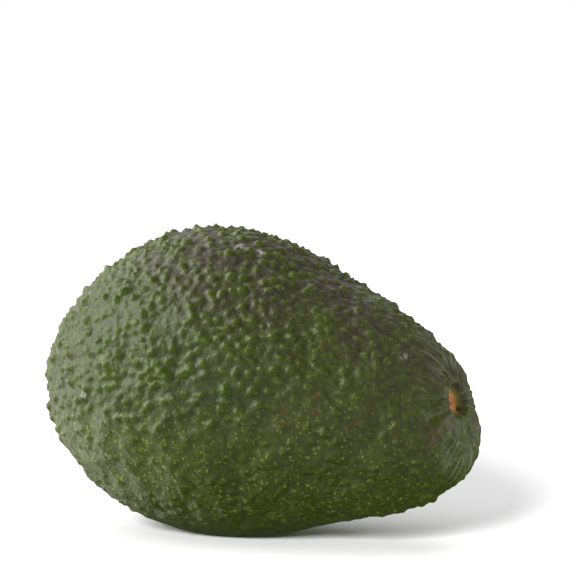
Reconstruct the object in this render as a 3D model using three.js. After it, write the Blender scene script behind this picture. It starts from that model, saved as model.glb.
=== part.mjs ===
import * as THREE from 'three';
import { mergeVertices } from 'three/addons/utils/BufferGeometryUtils.js';

// A whole avocado lying on its side, in millimetres, +Z up.
// +X points at the stem end. The origin is on the surface that the fruit rests on,
// under the middle of its length and width.

// Driving dimensions of the fruit
const length = 102.5; // blossom end to stem end
const midRadius = 34; // half the height of the upright section at mid length
const widthToHeight = 0.935; // the sections are a little narrower than they are high
const endBluntness = 0.69; // power of the end rounding: 1 is an ellipse, less is blunter
const taper = { linear: 0.234, square: 0.243, cube: -0.226 }; // thinning towards the ends
const droop = { linear: -3.5, square: -4.2, cube: 0.4 }; // height of the sections' centres
const restFlat = 0.6; // depth of the skin pressed flat where the fruit rests

// The dimple that the stem grew out of
const stemTilt = THREE.MathUtils.degToRad( 8 ); // up from the end of the fruit
const cavityRadius = 7.5;
const cavityDepth = 2.6;

// Fineness of the skin
const sectors = 72;
const rings = 44;
const endCrowding = 0.22; // draws the rings closer together at both ends

const skinMaterial = new THREE.MeshStandardMaterial( {
	color: 0x3d4f24,
	roughness: 0.45,
	metalness: 0
} );

// The sum of the powers of along, weighted by the named coefficients
function powers( coefficients, along ) {

	const { linear, square, cube } = coefficients;
	return linear * along + square * along ** 2 + cube * along ** 3;

}

// The point of the smooth skin that a unit direction from the fruit's middle stands for
function skinPoint( direction ) {

	const along = THREE.MathUtils.clamp( direction.x, - 1, 1 );
	const across = Math.sqrt( 1 - along ** 2 );
	const turn = Math.atan2( direction.z, direction.y );
	const radius = midRadius * across ** endBluntness * ( 1 - powers( taper, along ) );

	return new THREE.Vector3(
		length / 2 * along,
		widthToHeight * radius * Math.cos( turn ),
		powers( droop, along ) + radius * Math.sin( turn )
	);

}

// A unit sphere with its poles at the stem and opposite it, and its rings crowded to them
function skinDirections() {

	const sphere = new THREE.SphereGeometry( 1, sectors, rings );
	sphere.deleteAttribute( 'normal' );
	sphere.deleteAttribute( 'uv' );
	const directions = mergeVertices( sphere );

	const position = directions.attributes.position;
	const spherical = new THREE.Spherical();
	const point = new THREE.Vector3();

	for ( let i = 0; i < position.count; i ++ ) {

		spherical.setFromVector3( point.fromBufferAttribute( position, i ) );
		spherical.phi -= endCrowding * Math.sin( 2 * spherical.phi );
		point.setFromSpherical( spherical );
		position.setXYZ( i, point.x, point.y, point.z );

	}

	directions.rotateZ( - Math.PI / 2 );
	directions.rotateY( - stemTilt );
	return directions;

}

// Pushes a point into the fruit by the depth of the stem cavity there
function sinkCavity( point, stem, inward ) {

	const distance = point.distanceTo( stem );

	if ( distance < cavityRadius ) {

		const fall = ( 1 + Math.cos( Math.PI * distance / cavityRadius ) ) / 2;
		point.addScaledVector( inward, cavityDepth * fall );

	}

}

function makeAvocado() {

	const geometry = skinDirections();
	const position = geometry.attributes.position;

	const inward = new THREE.Vector3( - Math.cos( stemTilt ), 0, - Math.sin( stemTilt ) );
	const stem = skinPoint( inward.clone().negate() );
	const points = [];
	const direction = new THREE.Vector3();

	for ( let i = 0; i < position.count; i ++ ) {

		const point = skinPoint( direction.fromBufferAttribute( position, i ) );
		sinkCavity( point, stem, inward );
		points.push( point );

	}

	const floor = Math.min( ...points.map( ( point ) => point.z ) ) + restFlat;

	points.forEach( ( point, i ) => {

		position.setXYZ( i, point.x, point.y, Math.max( point.z, floor ) );

	} );

	geometry.computeBoundingBox();
	const box = geometry.boundingBox;
	const middle = box.getCenter( new THREE.Vector3() );
	geometry.translate( - middle.x, - middle.y, - box.min.z );
	geometry.computeVertexNormals();

	const avocado = new THREE.Mesh( geometry, skinMaterial );
	avocado.name = 'avocado';
	return avocado;

}

const fruit = new THREE.Group();
fruit.add( makeAvocado() );

export default fruit;
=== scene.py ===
import math
import random

import bmesh
import bpy
import numpy as np
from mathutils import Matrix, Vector, kdtree, noise


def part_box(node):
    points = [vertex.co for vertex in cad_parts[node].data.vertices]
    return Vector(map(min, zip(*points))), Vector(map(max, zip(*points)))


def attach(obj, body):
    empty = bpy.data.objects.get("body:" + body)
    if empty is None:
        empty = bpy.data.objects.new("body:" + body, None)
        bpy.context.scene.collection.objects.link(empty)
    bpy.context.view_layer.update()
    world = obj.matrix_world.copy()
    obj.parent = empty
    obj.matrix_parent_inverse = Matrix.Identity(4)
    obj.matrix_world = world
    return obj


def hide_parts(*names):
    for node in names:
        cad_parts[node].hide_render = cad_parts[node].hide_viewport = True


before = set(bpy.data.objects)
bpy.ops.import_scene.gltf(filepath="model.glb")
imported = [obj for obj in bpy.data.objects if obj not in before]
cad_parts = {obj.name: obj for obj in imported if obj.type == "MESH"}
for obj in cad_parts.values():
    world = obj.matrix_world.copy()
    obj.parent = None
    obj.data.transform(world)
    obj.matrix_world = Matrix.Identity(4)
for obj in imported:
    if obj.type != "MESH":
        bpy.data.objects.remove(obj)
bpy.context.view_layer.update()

# An avocado lying on its side, with +X at its stem end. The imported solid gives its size, place and
# resting spot. This file grows the pebbled skin over it, in millimetres, colours the skin, and sets
# up the table, the light and the camera.

mm = 0.001
fruitNode = "avocado"
boxLow, boxHigh = (np.array(corner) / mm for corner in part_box(fruitNode))
boxSize = boxHigh - boxLow

# the smooth fruit under the pebbles
body = {
    "bluntness": 0.69,  # power of the end rounding, 1 is an ellipse
    "taper": (0.234, 0.243, -0.226),  # thinning of the sections towards the ends
    "droop": (-3.5, -4.2, 0.4),  # height of the sections' centres along the fruit
    "midRadius": 34.0,  # half the height of the upright section at mid length
    "gridCuts": 127,  # cuts along each side of the cube that the skin is blown up from
    "endCrowding": 0.10,  # draws the squares closer together at both ends
    "lumpSize": 15.0,
    "lumpHeight": 0.35,
    # shallow hollows: how deep, where along the fruit, and how far to either side
    "hollows": {"crown": (0.5, -29, 17), "neck": (0.9, 22, 12), "belly": (0.9, 18, 11)},
    "facingUp": (0.1, 0.9),  # upward slant where the crown and neck start to sink, and sink fully
    "facingDown": (-0.2, -0.9),  # and the same for the belly
    "restingSkin": (0.2, 7.0),  # heights where the skin is still smooth, and has its full relief
    "bellyStart": (0.1, 1.6),  # heights where the belly's hollow starts, and is full
}


def powers(coefficients, along):
    return sum(c * along ** (i + 1) for i, c in enumerate(coefficients))


def blend(low, high, share):
    return low + (high - low) * share


def smoothStep(low, high, value):
    t = np.clip((value - low) / (high - low), 0, 1)
    return t * t * (3 - 2 * t)


def swell(place, middle, reach):
    # a soft hill, one high at its middle
    return np.exp(-((place - middle) / reach) ** 2)


def noiseAt(points, size, seed):
    # one smooth noise value, about -1 to 1, for each point; size is its grain
    shift = Vector((seed * 17.3, seed * 9.1, seed * 5.7))
    return np.array([noise.noise(Vector(point) / size + shift) for point in points])


def sectionRadius(along):
    across = np.sqrt(1 - along ** 2)
    return body["midRadius"] * across ** body["bluntness"] * (1 - powers(body["taper"], along))


def bodyPoints(directions):
    # the point of the smooth skin that each unit direction stands for
    along = np.clip(directions[:, 0], -1, 1)
    turn = np.arctan2(directions[:, 2], directions[:, 1])
    radius = sectionRadius(along)
    wide = boxSize[1] / (2 * body["widest"])
    x = boxSize[0] / 2 * along
    y = wide * radius * np.cos(turn)
    z = powers(body["droop"], along) + radius * np.sin(turn)
    return np.stack([x, y, z + body["lift"]], 1)


def settleBody():
    # finds the widest section, and how far to lift the fruit so that it is as high as its box
    ring = np.radians(np.arange(0, 180.5, 0.5))
    topLine = np.stack([np.cos(ring), 0 * ring, np.sin(ring)], 1)
    body["widest"] = sectionRadius(topLine[:, 0]).max()
    body["lift"] = 0.0
    body["lift"] = boxHigh[2] - bodyPoints(topLine)[:, 2].max()


def skinGrid():
    # a cube cut into even squares, as unit directions from the middle of the fruit
    grid = bmesh.new()
    bmesh.ops.create_cube(grid, size=2)
    bmesh.ops.subdivide_edges(grid, edges=grid.edges[:], cuts=body["gridCuts"], use_grid_fill=True)
    mesh = bpy.data.meshes.new("avocadoSkin")
    grid.to_mesh(mesh)
    grid.free()
    cube = np.zeros(len(mesh.vertices) * 3)
    mesh.vertices.foreach_get("co", cube)
    even = np.tan(cube.reshape(-1, 3) * math.pi / 4)
    directions = even / np.linalg.norm(even, axis=1)[:, None]
    angle = np.arccos(np.clip(directions[:, 0], -1, 1))
    crowded = angle - body["endCrowding"] * np.sin(2 * angle)
    squeeze = np.sin(crowded) / np.maximum(np.sin(angle), 1e-9)
    directions = np.stack([np.cos(crowded), directions[:, 1] * squeeze, directions[:, 2] * squeeze], 1)
    return mesh, directions


def placeMesh(mesh, points):
    mesh.vertices.foreach_set("co", (points * mm).ravel())
    mesh.update()


def meshNormals(mesh):
    normals = np.zeros(len(mesh.vertices) * 3)
    mesh.vertices.foreach_get("normal", normals)
    return normals.reshape(-1, 3)


def hollow(name, points):
    depth, middle, reach = body["hollows"][name]
    return depth * swell(points[:, 0], middle, reach)


pebbles = {
    "seed": 41,
    "spacing": (1.45, 2.6),  # between neighbours, smallest and largest
    "foot": (0.95, 1.65),  # radius of a pebble's foot
    "usualFoot": 1.2,  # a pebble with this foot has the usual height
    "height": 0.74,
    "heightSpread": 0.55,
    "steepness": 1.6,
    "calmSpacing": 1.3,  # times wider apart where the skin is calm
    "calmFoot": 0.75,  # and this much smaller
    "calmHeight": 0.3,  # and this much lower
    "stemFade": 0.6,  # share of their height that is lost next to the stem
    "stretch": 1.25,  # length over width away from the stem
    "stemStretch": 2.2,  # and close to it, where they point at the stem
    "stretchSpread": (0.8, 1.35),
    "turnReach": (26, 8),  # they start to turn this far from the stem, and all point at it by here
    "wander": 0.35,  # how far the outlines stray from ovals
    "wanderSize": 1.6,
    "lumpSize": 5.0,
    "lumpHeight": 0.68,
    "lumpStart": (4, 14),  # from the stem
    "ridgeSize": 3.9,
    "ridgeHeight": 0.28,
    "calmRidge": 0.4,  # times lower where the skin is calm
    "sink": 0.65,  # how far the skin sinks under the pebbles, as a share of their height
    "tipHeight": 1.2,  # times the usual height, where a tip has its full colour
    # how strongly the skin is pebbled: most on top, least on the belly and near the stem
    "bellyShare": 0.28,
    "topShare": 0.72,
    "topHeights": (16, 38),  # between the belly and the top
    "stemward": (2, 36),  # along the fruit
    "stemwardLoss": 0.45,
    "blossomward": (-18, -42),
    "blossomwardLoss": 0.25,
    "blossomwardGain": 0.12,  # at all heights
    "driftSize": 12,
    "drift": 0.18,
    "leastShare": 0.12,
    "bareSkin": (5, 12),  # from the stem: no pebbles yet, and all of them
}


def pebbledShare(points):
    top = smoothStep(*pebbles["topHeights"], points[:, 2])
    stemward = smoothStep(*pebbles["stemward"], points[:, 0])
    blossomward = smoothStep(*pebbles["blossomward"], points[:, 0])
    kept = 1 - pebbles["stemwardLoss"] * stemward - pebbles["blossomwardLoss"] * blossomward
    share = pebbles["bellyShare"] + pebbles["topShare"] * top * kept
    share += pebbles["blossomwardGain"] * blossomward
    share += pebbles["drift"] * noiseAt(points, pebbles["driftSize"], 3)
    return np.clip(share, pebbles["leastShare"], 1)


def scatterPebbles(points, rough, tree, dice):
    # walks the skin in a shuffled order; each place still free becomes a pebble's middle
    order = list(range(len(points)))
    dice.shuffle(order)
    taken = np.zeros(len(points), bool)
    middles = []
    for i in order:
        if taken[i]:
            continue
        room = dice.uniform(*pebbles["spacing"]) * blend(pebbles["calmSpacing"], 1, rough[i])
        middles.append(i)
        for _, j, _ in tree.find_range(Vector(points[i]), room):
            taken[j] = True
    return middles


def raisePebbles(points, normals, rough, stemPlace):
    tree = kdtree.KDTree(len(points))
    for i, point in enumerate(points):
        tree.insert(Vector(point), i)
    tree.balance()
    dice = random.Random(pebbles["seed"])
    middles = scatterPebbles(points, rough, tree, dice)
    stray = pebbles["wander"]
    strays = [noiseAt(points, pebbles["wanderSize"], 5 + axis) for axis in range(3)]
    warped = points + stray * np.stack(strays, 1)
    field = np.zeros(len(points))
    for i in middles:
        # an oval, turned at random, or to the stem where it is close to it
        middle, normal = points[i], normals[i]
        toStem = stemPlace - middle
        near = smoothStep(*pebbles["turnReach"], np.linalg.norm(toStem))
        swing = dice.uniform(-math.pi, math.pi) * (1 - near)
        ahead = toStem - normal * toStem.dot(normal)
        ahead /= max(np.linalg.norm(ahead), 1e-6)
        long = math.cos(swing) * ahead + math.sin(swing) * np.cross(normal, ahead)
        side = np.cross(normal, long)
        stretch = blend(pebbles["stretch"], pebbles["stemStretch"], near)
        stretch *= dice.uniform(*pebbles["stretchSpread"])
        foot = dice.uniform(*pebbles["foot"]) * blend(pebbles["calmFoot"], 1, rough[i])
        wide = foot / math.sqrt(stretch)
        tall = pebbles["height"] * (1 + pebbles["heightSpread"] * dice.uniform(-1, 1))
        tall *= foot / pebbles["usualFoot"]
        hits = [j for _, j, _ in tree.find_range(Vector(middle), wide * stretch + 2 * stray)]
        offset = warped[hits] - middle
        spread = (offset @ long / (wide * stretch)) ** 2 + (offset @ side / wide) ** 2
        bump = tall * np.clip(1 - spread, 0, None) ** pebbles["steepness"]
        field[hits] += bump ** 3  # summed as cubes, so that neighbours join softly and don't pile up
    print("pebbles:", len(middles))
    return np.cbrt(field)


def pebbleRise(points, pebble, rough, distance, nearStem):
    # the pebbles, and the lumps and ridges that they stand on
    lump = body["lumpHeight"] * noiseAt(points, body["lumpSize"], 1)
    lump += pebbles["lumpHeight"] * noiseAt(points, pebbles["lumpSize"], 2)
    ridge = pebbles["ridgeHeight"] * (0.5 - 2 * np.abs(noiseAt(points, pebbles["ridgeSize"], 4)))
    ridge *= blend(pebbles["calmRidge"], 1, rough)
    rise = pebble * blend(pebbles["calmHeight"], 1, rough) * (1 - pebbles["stemFade"] * nearStem)
    rise += (lump + ridge) * smoothStep(*pebbles["lumpStart"], distance)
    return rise - pebbles["sink"] * pebbles["height"] * rough


stem = {
    "tilt": math.radians(8),  # up from the end of the fruit
    "aside": -0.03,  # slant to the side, towards the camera where negative
    "reach": (24, 9),  # the skin starts to change this far from the stem, and has changed by here
    "scarRadius": 2.3,
    "scarEdge": (2.8, 1.9),  # where its colour starts, and where it is full
    "cavityRadius": 4.3,
    "cavityDepth": 2.4,
    "wallEdge": (3.5, 2.5),  # where the colour of the cavity's wall starts, and where it is full
    "browHeight": 0.9,  # how far the skin swells above the cavity
    "browPlace": 10.5,
    "browWidth": 3.0,
    "lobeHeight": 1.7,  # how far the fruit swells below the stem
    "lobeStart": (6, 11),
    "lobeEnd": (22, 12),
    "wrinkles": 34,
    "wrinkleHeight": 0.48,
    "wrinkleSharpness": 2.2,
    "wrinkleReach": (19, 7),
    "wrinkleStart": (1.5, 4.5),
    "wrinkleDrift": 0.04,  # how quickly a wrinkle changes on its way out
    "knobSize": 3.4,
    "knobHeight": 0.55,
    "knobStart": (3, 6),
}


def stemFrame():
    outward = np.array([math.cos(stem["tilt"]), stem["aside"], math.sin(stem["tilt"])])
    outward /= np.linalg.norm(outward)
    place = bodyPoints(outward[None])[0]
    return place, outward


def stemPolar(points, place, outward):
    # distance from the stem and angle around it
    offset = points - place
    up = np.array([-outward[2], 0, outward[0]])
    side = np.cross(outward, up)
    return np.linalg.norm(offset, axis=1), np.arctan2(offset @ up, offset @ side)


def stemRing(distance, angle):
    # a place on a ring round the stem, nearly the same all the way out, so noise there makes streaks
    turns = stem["wrinkles"] / math.tau
    return np.stack([turns * np.cos(angle), turns * np.sin(angle), stem["wrinkleDrift"] * distance], 1)


def stemRise(points, distance, angle, nearStem):
    # wrinkles that run into the cavity, knobs between them, a brow above it and a lobe below
    above = np.sin(angle)
    wrinkle = 1 - stem["wrinkleSharpness"] * np.abs(noiseAt(stemRing(distance, angle), 1.0, 11))
    wrinkle *= smoothStep(*stem["wrinkleReach"], distance) * smoothStep(*stem["wrinkleStart"], distance)
    knob = noiseAt(points, stem["knobSize"], 6) * nearStem * smoothStep(*stem["knobStart"], distance)
    brow = np.clip(above, 0, 1) * swell(distance, stem["browPlace"], stem["browWidth"])
    lobe = np.clip(-above, 0, 1) * smoothStep(*stem["lobeStart"], distance)
    lobe *= smoothStep(*stem["lobeEnd"], distance)
    rise = stem["wrinkleHeight"] * wrinkle + stem["knobHeight"] * knob
    return rise + stem["browHeight"] * brow + stem["lobeHeight"] * lobe


def cavityDepth(distance):
    return stem["cavityDepth"] * smoothStep(stem["cavityRadius"], stem["scarRadius"], distance)


def storeMask(mesh, name, values):
    mask = mesh.attributes.new(name, "FLOAT", "POINT")
    mask.data.foreach_set("value", np.clip(values, 0, 1).astype(np.float32))


def growSkin():
    # the skin as one piece, with the masks that its material reads
    settleBody()
    mesh, directions = skinGrid()
    points = bodyPoints(directions)
    placeMesh(mesh, points)
    normals = meshNormals(mesh)
    stemPlace, outward = stemFrame()
    distance, angle = stemPolar(points, stemPlace, outward)
    nearStem = smoothStep(*stem["reach"], distance)

    rough = pebbledShare(points) * smoothStep(*pebbles["bareSkin"], distance)
    pebble = raisePebbles(points, normals, rough, stemPlace)
    rise = pebbleRise(points, pebble, rough, distance, nearStem)
    rise += stemRise(points, distance, angle, nearStem)
    rise -= rise.mean()  # so that the solid's skin is the mean height
    topHollows = hollow("crown", points) + hollow("neck", points)
    rise -= topHollows * smoothStep(*body["facingUp"], normals[:, 2])
    rise *= smoothStep(*body["restingSkin"], points[:, 2])
    bellyHollow = hollow("belly", points) * smoothStep(*body["facingDown"], normals[:, 2])
    rise -= bellyHollow * smoothStep(*body["bellyStart"], points[:, 2])
    points = points + normals * rise[:, None] - outward * cavityDepth(distance)[:, None]
    points[:, 2] = np.maximum(points[:, 2], 0)  # pressed flat where it rests
    placeMesh(mesh, points)
    mesh.polygons.foreach_set("use_smooth", [True] * len(mesh.polygons))

    storeMask(mesh, "pebble", pebble / (pebbles["tipHeight"] * pebbles["height"]))
    storeMask(mesh, "rough", rough)
    storeMask(mesh, "nearStem", nearStem)
    storeMask(mesh, "cavity", smoothStep(*stem["wallEdge"], distance))
    storeMask(mesh, "scar", smoothStep(*stem["scarEdge"], distance))
    ring = mesh.attributes.new("stemRing", "FLOAT_VECTOR", "POINT")
    ring.data.foreach_set("vector", stemRing(distance, angle).astype(np.float32).ravel())

    skin = bpy.data.objects.new("avocadoSkin", mesh)
    bpy.context.scene.collection.objects.link(skin)
    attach(skin, "root")
    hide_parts(fruitNode)
    print("skin:", len(mesh.polygons), "faces")
    return skin


skinLook = {
    # each layer of colour: how strongly it covers what is below it, and its colour
    "layers": {
        "top": (0.55, (0.056, 0.055, 0.013, 1)),
        "tips": (0.85, (0.055, 0.085, 0.006, 1)),
        "valleys": (0.65, (0.039, 0.049, 0.016, 1)),
        "belly": (0.3, (0.062, 0.086, 0.010, 1)),
        # painted shade: darker skin where the fruit meets the table
        "underShade": (0.5, (0.018, 0.022, 0.006, 1)),
        "purple": (0.85, (0.046, 0.034, 0.030, 1)),
        "stemBrown": (0.55, (0.050, 0.036, 0.028, 1)),
        "mottle": (0.6, (0.072, 0.102, 0.010, 1)),
        "rust": (0.9, (0.105, 0.036, 0.009, 1)),
        # painted highlight: pale lines along the wrinkle ridges by the stem
        "glintLines": (0.7, (0.170, 0.180, 0.120, 1)),
        "darkSpot": (1, (0.060, 0.018, 0.006, 1)),
    },
    # pairs of colours that run into each other
    "greens": ((0.034, 0.046, 0.007, 1), (0.050, 0.064, 0.010, 1)),
    "pores": ((0.105, 0.155, 0.018, 1), (0.225, 0.275, 0.040, 1)),  # on top and on the belly
    "walls": ((0.180, 0.185, 0.022, 1), (0.250, 0.200, 0.035, 1)),
    "scars": ((0.360, 0.115, 0.022, 1), (0.480, 0.180, 0.050, 1)),
    # each pattern: its size, detail and seed, and the noise values where it starts and is full
    "patterns": {
        "greens": (13, 3, 1, 0.35, 0.68),
        "purple": (9, 3, 4, 0.36, 0.54),
        "stemBrown": (4, 3, 6, 0.45, 0.62),
        "mottle": (1.6, 2, 3, 0.44, 0.66),
        "pores": (3.5, 3, 21, 0.22, 0.56),
        "marks": (0.9, 3, 15, 0.44, 0.56),
        "walls": (1.4, 3, 7, 0.40, 0.65),
        "scars": (0.8, 4, 8, 0.35, 0.65),
    },
    # spots: size of the net's cells, radius of a spot, share of cells with one, and seed
    "finePores": (0.9, 0.27, 0.75, 1),
    "largePores": (1.6, 0.34, 0.6, 2),
    "rustSpots": (3.4, 0.55, 0.7, 5),
    # heights where something starts, and where it is full
    "topHeights": (8, 62),
    "bellyHeights": (34, 16),
    "bellyFoot": (2, 9),
    # the painted shade under the fruit, from its start to full
    "underShadeHeights": (5, 0),
    "poreHeights": (0, 9),
    "paleHeights": (42, 22),
    "purpleHeights": (46, 64),
    "purpleSlope": 0.35,  # it reaches further down towards the stem
    # the pebble mask, where something starts and where it is full
    "tipRange": (0.12, 0.65),
    "valleyRange": (0.45, 0.0),
    "purpleRange": (0.75, 0.2),
    "poreStrength": 0.9,
    "calmLoss": 0.6,  # share of pores and mottling that rough skin loses
    "stemPoreLoss": 0.6,
    # the painted highlight lines on the wrinkle ridges by the stem
    "glintSize": 0.25,  # of the lines that run into the stem, in wrinkles
    "glintRange": (0.60, 0.67),
    "glintSide": (-14, -2),  # across the fruit, where they start and are full
    "rustPlace": ((31, -21, 38), 19, 10),  # with its outer and inner reach
    "darkSpot": ((49.4, 1.0, 30.9), 0.95, 0.25),
    # scuffs and stains: place on the fruit, radius, strength and colour
    "marks": [
        ((1.8, -10.5, 65.7), 2.2, 0.9, (0.300, 0.290, 0.250, 1)),
        ((6.1, -10.1, 64.1), 1.5, 0.8, (0.300, 0.290, 0.250, 1)),
        ((41.5, -9.8, 43.2), 1.5, 0.8, (0.260, 0.250, 0.220, 1)),
        ((-27.7, -28.6, 32.7), 1.1, 0.9, (0.300, 0.300, 0.260, 1)),
        ((-33, -26, 41), 1.0, 0.7, (0.110, 0.085, 0.040, 1)),
        ((43.3, -16, 27.2), 1.0, 0.9, (0.110, 0.028, 0.010, 1)),
        ((49.5, -10.8, 26.5), 3.0, 0.8, (0.075, 0.028, 0.020, 1)),
        ((51.5, -7, 29.3), 3.0, 0.7, (0.078, 0.040, 0.036, 1)),
    ],
    "markCore": 0.3,  # share of a mark's radius where it is full
    "ior": 1.45,
    "specular": 0.23,
    "roughness": {"base": 0.30, "grain": 0.22, "tips": -0.102, "stem": 0.12},
    "roughnessGrain": (3.0, 4, 9),  # size, detail and seed
    # relief too small for the mesh: heights of the bumps between pebbles, the grain, pores and lines
    "relief": {"bumps": -0.18, "grain": 0.24, "pores": 0.05, "lines": 0.12},
    "bumpSize": 1.5,
    "bumpSoftness": 0.35,
    "calmBumps": 0.25,
    "reliefGrain": (0.7, 4, 12),
}


def skinMaterial():
    material = bpy.data.materials.new("pebbledSkin")
    material.use_nodes = True
    tree = material.node_tree
    shader = tree.nodes["Principled BSDF"]

    def add(kind, **values):
        made = tree.nodes.new(kind)
        for name, value in values.items():
            setattr(made, name, value)
        return made

    def feed(socket, value):
        if isinstance(value, bpy.types.NodeSocket):
            tree.links.new(value, socket)
        else:
            socket.default_value = value

    coordinates = add("ShaderNodeTexCoord")
    inMillimetres = add("ShaderNodeVectorMath", operation="SCALE")
    feed(inMillimetres.inputs[0], coordinates.outputs["Object"])
    inMillimetres.inputs["Scale"].default_value = 1 / mm
    place = inMillimetres.outputs[0]
    parts = add("ShaderNodeSeparateXYZ")
    feed(parts.inputs[0], place)
    along, across, height = parts.outputs

    def mask(name):
        return add("ShaderNodeAttribute", attribute_name=name).outputs["Fac"]

    def maths(operation, *values):
        made = add("ShaderNodeMath", operation=operation)
        for socket, value in zip(made.inputs, values):
            feed(socket, value)
        return made.outputs[0]

    def product(first, *others):
        for other in others:
            first = maths("MULTIPLY", first, other)
        return first

    def step(value, low, high):
        made = add("ShaderNodeMapRange", interpolation_type="SMOOTHSTEP")
        feed(made.inputs["Value"], value)
        made.inputs["From Min"].default_value = low
        made.inputs["From Max"].default_value = high
        return made.outputs["Result"]

    def mix(share, a, b):
        made = add("ShaderNodeMix", data_type="RGBA")
        feed(made.inputs["Factor"], share)
        feed(made.inputs[6], a)
        feed(made.inputs[7], b)
        return made.outputs[2]

    def cover(under, layer, *shares):
        strength, paint = skinLook["layers"][layer]
        return mix(product(*shares, strength), under, paint)

    def grain(size, detail, seed):
        made = add("ShaderNodeTexNoise", noise_dimensions="4D")
        feed(made.inputs["Vector"], place)
        made.inputs["W"].default_value = seed
        made.inputs["Scale"].default_value = 1 / size
        made.inputs["Detail"].default_value = detail
        return made.outputs["Fac"]

    def pattern(name):
        size, detail, seed, low, high = skinLook["patterns"][name]
        return step(grain(size, detail, seed), low, high)

    def spots(size, radius, share, seed):
        # round spots, 0.6 to 1.6 times the radius, one in some of the cells of a loose net
        moved = add("ShaderNodeVectorMath", operation="ADD")
        feed(moved.inputs[0], place)
        moved.inputs[1].default_value = (seed * 3.1, seed * 1.7, seed * 2.3)
        made = add("ShaderNodeTexVoronoi", feature="F1")
        feed(made.inputs["Vector"], moved.outputs[0])
        made.inputs["Scale"].default_value = 1 / size
        cell = add("ShaderNodeSeparateColor")
        feed(cell.inputs[0], made.outputs["Color"])
        chosen = step(cell.outputs[0], 1 - share, 1 - share + 0.02)
        wide = maths("MULTIPLY_ADD", cell.outputs[1], radius / size, 0.6 * radius / size)
        outward = maths("DIVIDE", made.outputs["Distance"], wide)
        return product(step(outward, 1.1, 0.3), chosen)  # with a soft rim

    def near(centre, outer, inner):
        # one within the inner distance of a place on the fruit, none beyond the outer
        made = add("ShaderNodeVectorMath", operation="DISTANCE")
        feed(made.inputs[0], place)
        made.inputs[1].default_value = centre
        return step(made.outputs["Value"], outer, inner)

    pebble, rough, nearStem = mask("pebble"), mask("rough"), mask("nearStem")
    tip = step(pebble, *skinLook["tipRange"])
    green = mix(pattern("greens"), *skinLook["greens"])
    green = cover(green, "top", step(height, *skinLook["topHeights"]))
    green = cover(green, "tips", tip, rough)
    green = cover(green, "valleys", step(pebble, *skinLook["valleyRange"]), rough)

    # yellower and lighter on the belly, and painted shade underneath, where the fruit meets the table
    belly = product(step(height, *skinLook["bellyHeights"]), step(height, *skinLook["bellyFoot"]))
    green = cover(green, "belly", belly)
    green = cover(green, "underShade", step(height, *skinLook["underShadeHeights"]))

    # purplish brown between the pebbles along the top, and brown patches near the stem
    topLine = step(maths("MULTIPLY_ADD", along, skinLook["purpleSlope"], height), *skinLook["purpleHeights"])
    green = cover(green, "purple", topLine, pattern("purple"), step(pebble, *skinLook["purpleRange"]))
    green = cover(green, "stemBrown", nearStem, pattern("stemBrown"))

    # mottling, and pores: tiny pale dots, palest on the belly
    calm = maths("SUBTRACT", 1.0, product(rough, skinLook["calmLoss"]))
    green = cover(green, "mottle", pattern("mottle"), calm)
    awayFromStem = maths("SUBTRACT", 1.0, product(nearStem, skinLook["stemPoreLoss"]))
    pores = maths("MAXIMUM", spots(*skinLook["finePores"]), spots(*skinLook["largePores"]))
    pores = product(pores, calm, step(height, *skinLook["poreHeights"]), awayFromStem, pattern("pores"))
    poreColour = mix(step(height, *skinLook["paleHeights"]), *skinLook["pores"])
    green = mix(product(pores, skinLook["poreStrength"]), green, poreColour)

    # rust spots, gathered on one cheek of the fruit
    green = cover(green, "rust", spots(*skinLook["rustSpots"]), near(*skinLook["rustPlace"]))

    # pale lines along the wrinkle ridges that run into the stem: a painted highlight on the ridges, which
    # are also raised a little in the relief
    line = add("ShaderNodeTexNoise")
    feed(line.inputs["Vector"], add("ShaderNodeAttribute", attribute_name="stemRing").outputs["Vector"])
    line.inputs["Scale"].default_value = 1 / skinLook["glintSize"]
    line.inputs["Detail"].default_value = 0.0
    glint = product(step(line.outputs["Fac"], *skinLook["glintRange"]), nearStem)
    glint = product(glint, step(across, *skinLook["glintSide"]))
    green = cover(green, "glintLines", glint)

    # scuffs and stains, each at its own place
    for where, radius, strength, stain in skinLook["marks"]:
        patch = product(near(where, radius, skinLook["markCore"] * radius), pattern("marks"), strength)
        green = mix(patch, green, stain)

    # the cavity's wall, the scar in it and the dark spot beside the scar
    colour = mix(mask("cavity"), green, mix(pattern("walls"), *skinLook["walls"]))
    colour = mix(mask("scar"), colour, mix(pattern("scars"), *skinLook["scars"]))
    colour = cover(colour, "darkSpot", near(*skinLook["darkSpot"]))
    feed(shader.inputs["Base Color"], colour)

    gloss = skinLook["roughness"]
    roughness = maths("MULTIPLY_ADD", grain(*skinLook["roughnessGrain"]), gloss["grain"], gloss["base"])
    roughness = maths("MULTIPLY_ADD", tip, gloss["tips"], roughness)
    roughness = maths("MULTIPLY_ADD", nearStem, gloss["stem"], roughness)
    feed(shader.inputs["Roughness"], roughness)
    shader.inputs["IOR"].default_value = skinLook["ior"]
    shader.inputs["Specular IOR Level"].default_value = skinLook["specular"]

    small = add("ShaderNodeTexVoronoi", feature="SMOOTH_F1")
    feed(small.inputs["Vector"], place)
    small.inputs["Scale"].default_value = 1 / skinLook["bumpSize"]
    small.inputs["Smoothness"].default_value = skinLook["bumpSoftness"]
    heights = skinLook["relief"]
    bumpShare = maths("ADD", rough, skinLook["calmBumps"])
    relief = product(small.outputs["Distance"], heights["bumps"], bumpShare)
    relief = maths("MULTIPLY_ADD", grain(*skinLook["reliefGrain"]), heights["grain"], relief)
    relief = maths("MULTIPLY_ADD", pores, heights["pores"], relief)
    relief = maths("MULTIPLY_ADD", glint, heights["lines"], relief)
    bump = add("ShaderNodeBump")
    bump.inputs["Strength"].default_value = 1.0
    bump.inputs["Distance"].default_value = mm
    feed(bump.inputs["Height"], relief)
    feed(shader.inputs["Normal"], bump.outputs["Normal"])
    print("skin material:", len(tree.nodes), "nodes")
    return material


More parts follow.
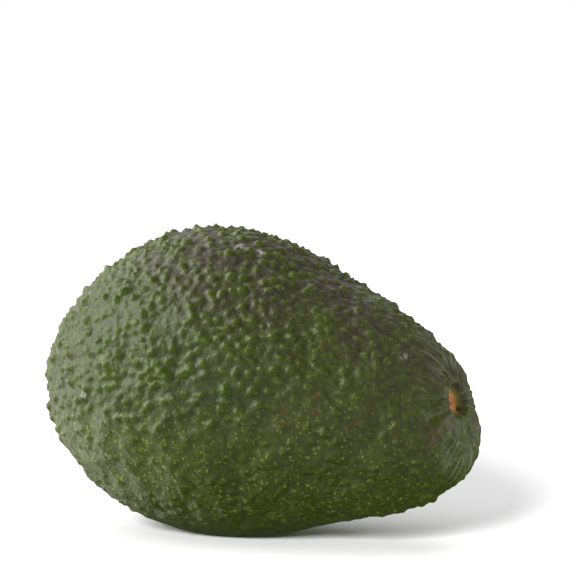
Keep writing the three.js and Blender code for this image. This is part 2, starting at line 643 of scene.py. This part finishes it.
studio = {
    "tableSize": 6.0,
    "tableWhite": 0.88,
    "tableRoughness": 0.7,
    "surround": (0.05, 0.52),  # darkest and brightest side of the room
    "brightSide": (-0.9, 0.1, 0.6),
    "sideRange": (-0.6, 0.8),  # how far round from the bright side it is darkest, and brightest
    "horizon": (-0.15, 0.05),  # the room is dimmer below the table
    "belowTable": 0.15,
    # each lamp: degrees left of the camera and up that it shines from, its spread and its power
    "fruitLamps": {
        "leftHigh": (88, 34, 50, 4.4),
        "leftLow": (92, 4, 50, 1.5),
        "leftRim": (135, 12, 60, 0.8),
        "right": (-90, 2, 50, 2.6),
        "behind": (165, 36, 50, 0.6),
        "front": (0, -20, 90, 1.75),
        "belowLeft": (118, -24, 60, 1.35),
    },
    "tableLamps": {
        "front": (20, 20, 17, 7.5),
        "above": (110, 74, 90, 1.7),
    },
}

view = {
    "azimuth": math.radians(30),
    "elevation": math.radians(6),
    "distance": 0.700,
    "middle": (0, 0, 0.0337),  # of the fruit, where the distance is counted from
    "aim": (0.0067, 0.0217),  # how far right of and above that middle the camera looks
    "lens": 195.6,
    "sensor": 36.0,
}


def wayFrom(azimuth, elevation):
    # the direction from the fruit to something at these angles
    level = math.cos(elevation)
    return Vector((math.sin(azimuth) * level, -math.cos(azimuth) * level, math.sin(elevation)))


def makeTable():
    grid = bmesh.new()
    bmesh.ops.create_grid(grid, x_segments=8, y_segments=8, size=studio["tableSize"] / 2)
    mesh = bpy.data.meshes.new("whiteTable")
    grid.to_mesh(mesh)
    grid.free()
    table = bpy.data.objects.new("whiteTable", mesh)
    bpy.context.scene.collection.objects.link(table)
    material = bpy.data.materials.new("mattWhite")
    material.use_nodes = True
    shader = material.node_tree.nodes["Principled BSDF"]
    white = studio["tableWhite"]
    shader.inputs["Base Color"].default_value = (white, white, white, 1)
    shader.inputs["Roughness"].default_value = studio["tableRoughness"]
    mesh.materials.append(material)
    # the fruit is lit by its own lamps, so the table sends no light or shade back to it
    table.visible_diffuse = False
    table.visible_glossy = False
    table.visible_shadow = False
    return table


def makeLamp(name, lit, left, up, spread, power):
    # a big soft lamp for one thing only, so that fruit and table can be set apart
    source = wayFrom(view["azimuth"] - math.radians(left), math.radians(up))
    lamp = bpy.data.lights.new(name, "SUN")
    lamp.angle = math.radians(spread)
    lamp.energy = power
    holder = bpy.data.objects.new(name, lamp)
    holder.location = source
    holder.rotation_euler = source.to_track_quat("Z", "Y").to_euler()
    bpy.context.scene.collection.objects.link(holder)
    group = bpy.data.collections.new(name + "Lights")
    group.objects.link(lit)
    holder.light_linking.receiver_collection = group


def makeSurround():
    # a room that is bright on one side; the backdrop itself shows plain white
    world = bpy.data.worlds.new("whiteSurround")
    bpy.context.scene.world = world
    world.use_nodes = True
    tree = world.node_tree
    background = tree.nodes["Background"]
    way = tree.nodes.new("ShaderNodeTexCoord")

    facing = tree.nodes.new("ShaderNodeVectorMath")
    facing.operation = "DOT_PRODUCT"
    tree.links.new(way.outputs["Generated"], facing.inputs[0])
    facing.inputs[1].default_value = Vector(studio["brightSide"]).normalized()
    shade = tree.nodes.new("ShaderNodeMapRange")
    shade.inputs["From Min"].default_value = studio["sideRange"][0]
    shade.inputs["From Max"].default_value = studio["sideRange"][1]
    shade.inputs["To Min"].default_value = studio["surround"][0]
    shade.inputs["To Max"].default_value = studio["surround"][1]
    tree.links.new(facing.outputs["Value"], shade.inputs["Value"])

    rising = tree.nodes.new("ShaderNodeSeparateXYZ")
    tree.links.new(way.outputs["Generated"], rising.inputs[0])
    above = tree.nodes.new("ShaderNodeMapRange")
    above.inputs["From Min"].default_value = studio["horizon"][0]
    above.inputs["From Max"].default_value = studio["horizon"][1]
    above.inputs["To Min"].default_value = studio["belowTable"]
    tree.links.new(rising.outputs["Z"], above.inputs["Value"])
    dim = tree.nodes.new("ShaderNodeMath")
    dim.operation = "MULTIPLY"
    tree.links.new(shade.outputs["Result"], dim.inputs[0])
    tree.links.new(above.outputs["Result"], dim.inputs[1])

    path = tree.nodes.new("ShaderNodeLightPath")
    seen = tree.nodes.new("ShaderNodeMix")
    tree.links.new(path.outputs["Is Camera Ray"], seen.inputs["Factor"])
    tree.links.new(dim.outputs[0], seen.inputs["A"])
    seen.inputs["B"].default_value = 1.0
    tree.links.new(seen.outputs["Result"], background.inputs["Strength"])
    background.inputs["Color"].default_value = (1, 1, 1, 1)


def makeCamera():
    azimuth = view["azimuth"]
    back = wayFrom(azimuth, view["elevation"])
    right = Vector((math.cos(azimuth), math.sin(azimuth), 0))
    up = back.cross(right)
    middle = Vector(view["middle"])
    lens = bpy.data.cameras.new("camera")
    lens.lens = view["lens"]
    lens.sensor_width = view["sensor"]
    lens.clip_start = 0.01
    camera = bpy.data.objects.new("camera", lens)
    camera.location = middle + back * view["distance"]
    aim = middle + right * view["aim"][0] + up * view["aim"][1]
    camera.rotation_euler = (camera.location - aim).to_track_quat("Z", "Y").to_euler()
    bpy.context.scene.collection.objects.link(camera)
    bpy.context.scene.camera = camera


skin = growSkin()
skin.data.materials.append(skinMaterial())
table = makeTable()
makeSurround()
for name, settings in studio["fruitLamps"].items():
    makeLamp(name, skin, *settings)
for name, settings in studio["tableLamps"].items():
    makeLamp(name, table, *settings)
makeCamera()
bpy.context.scene.view_settings.view_transform = "Standard"
print("studio ready")
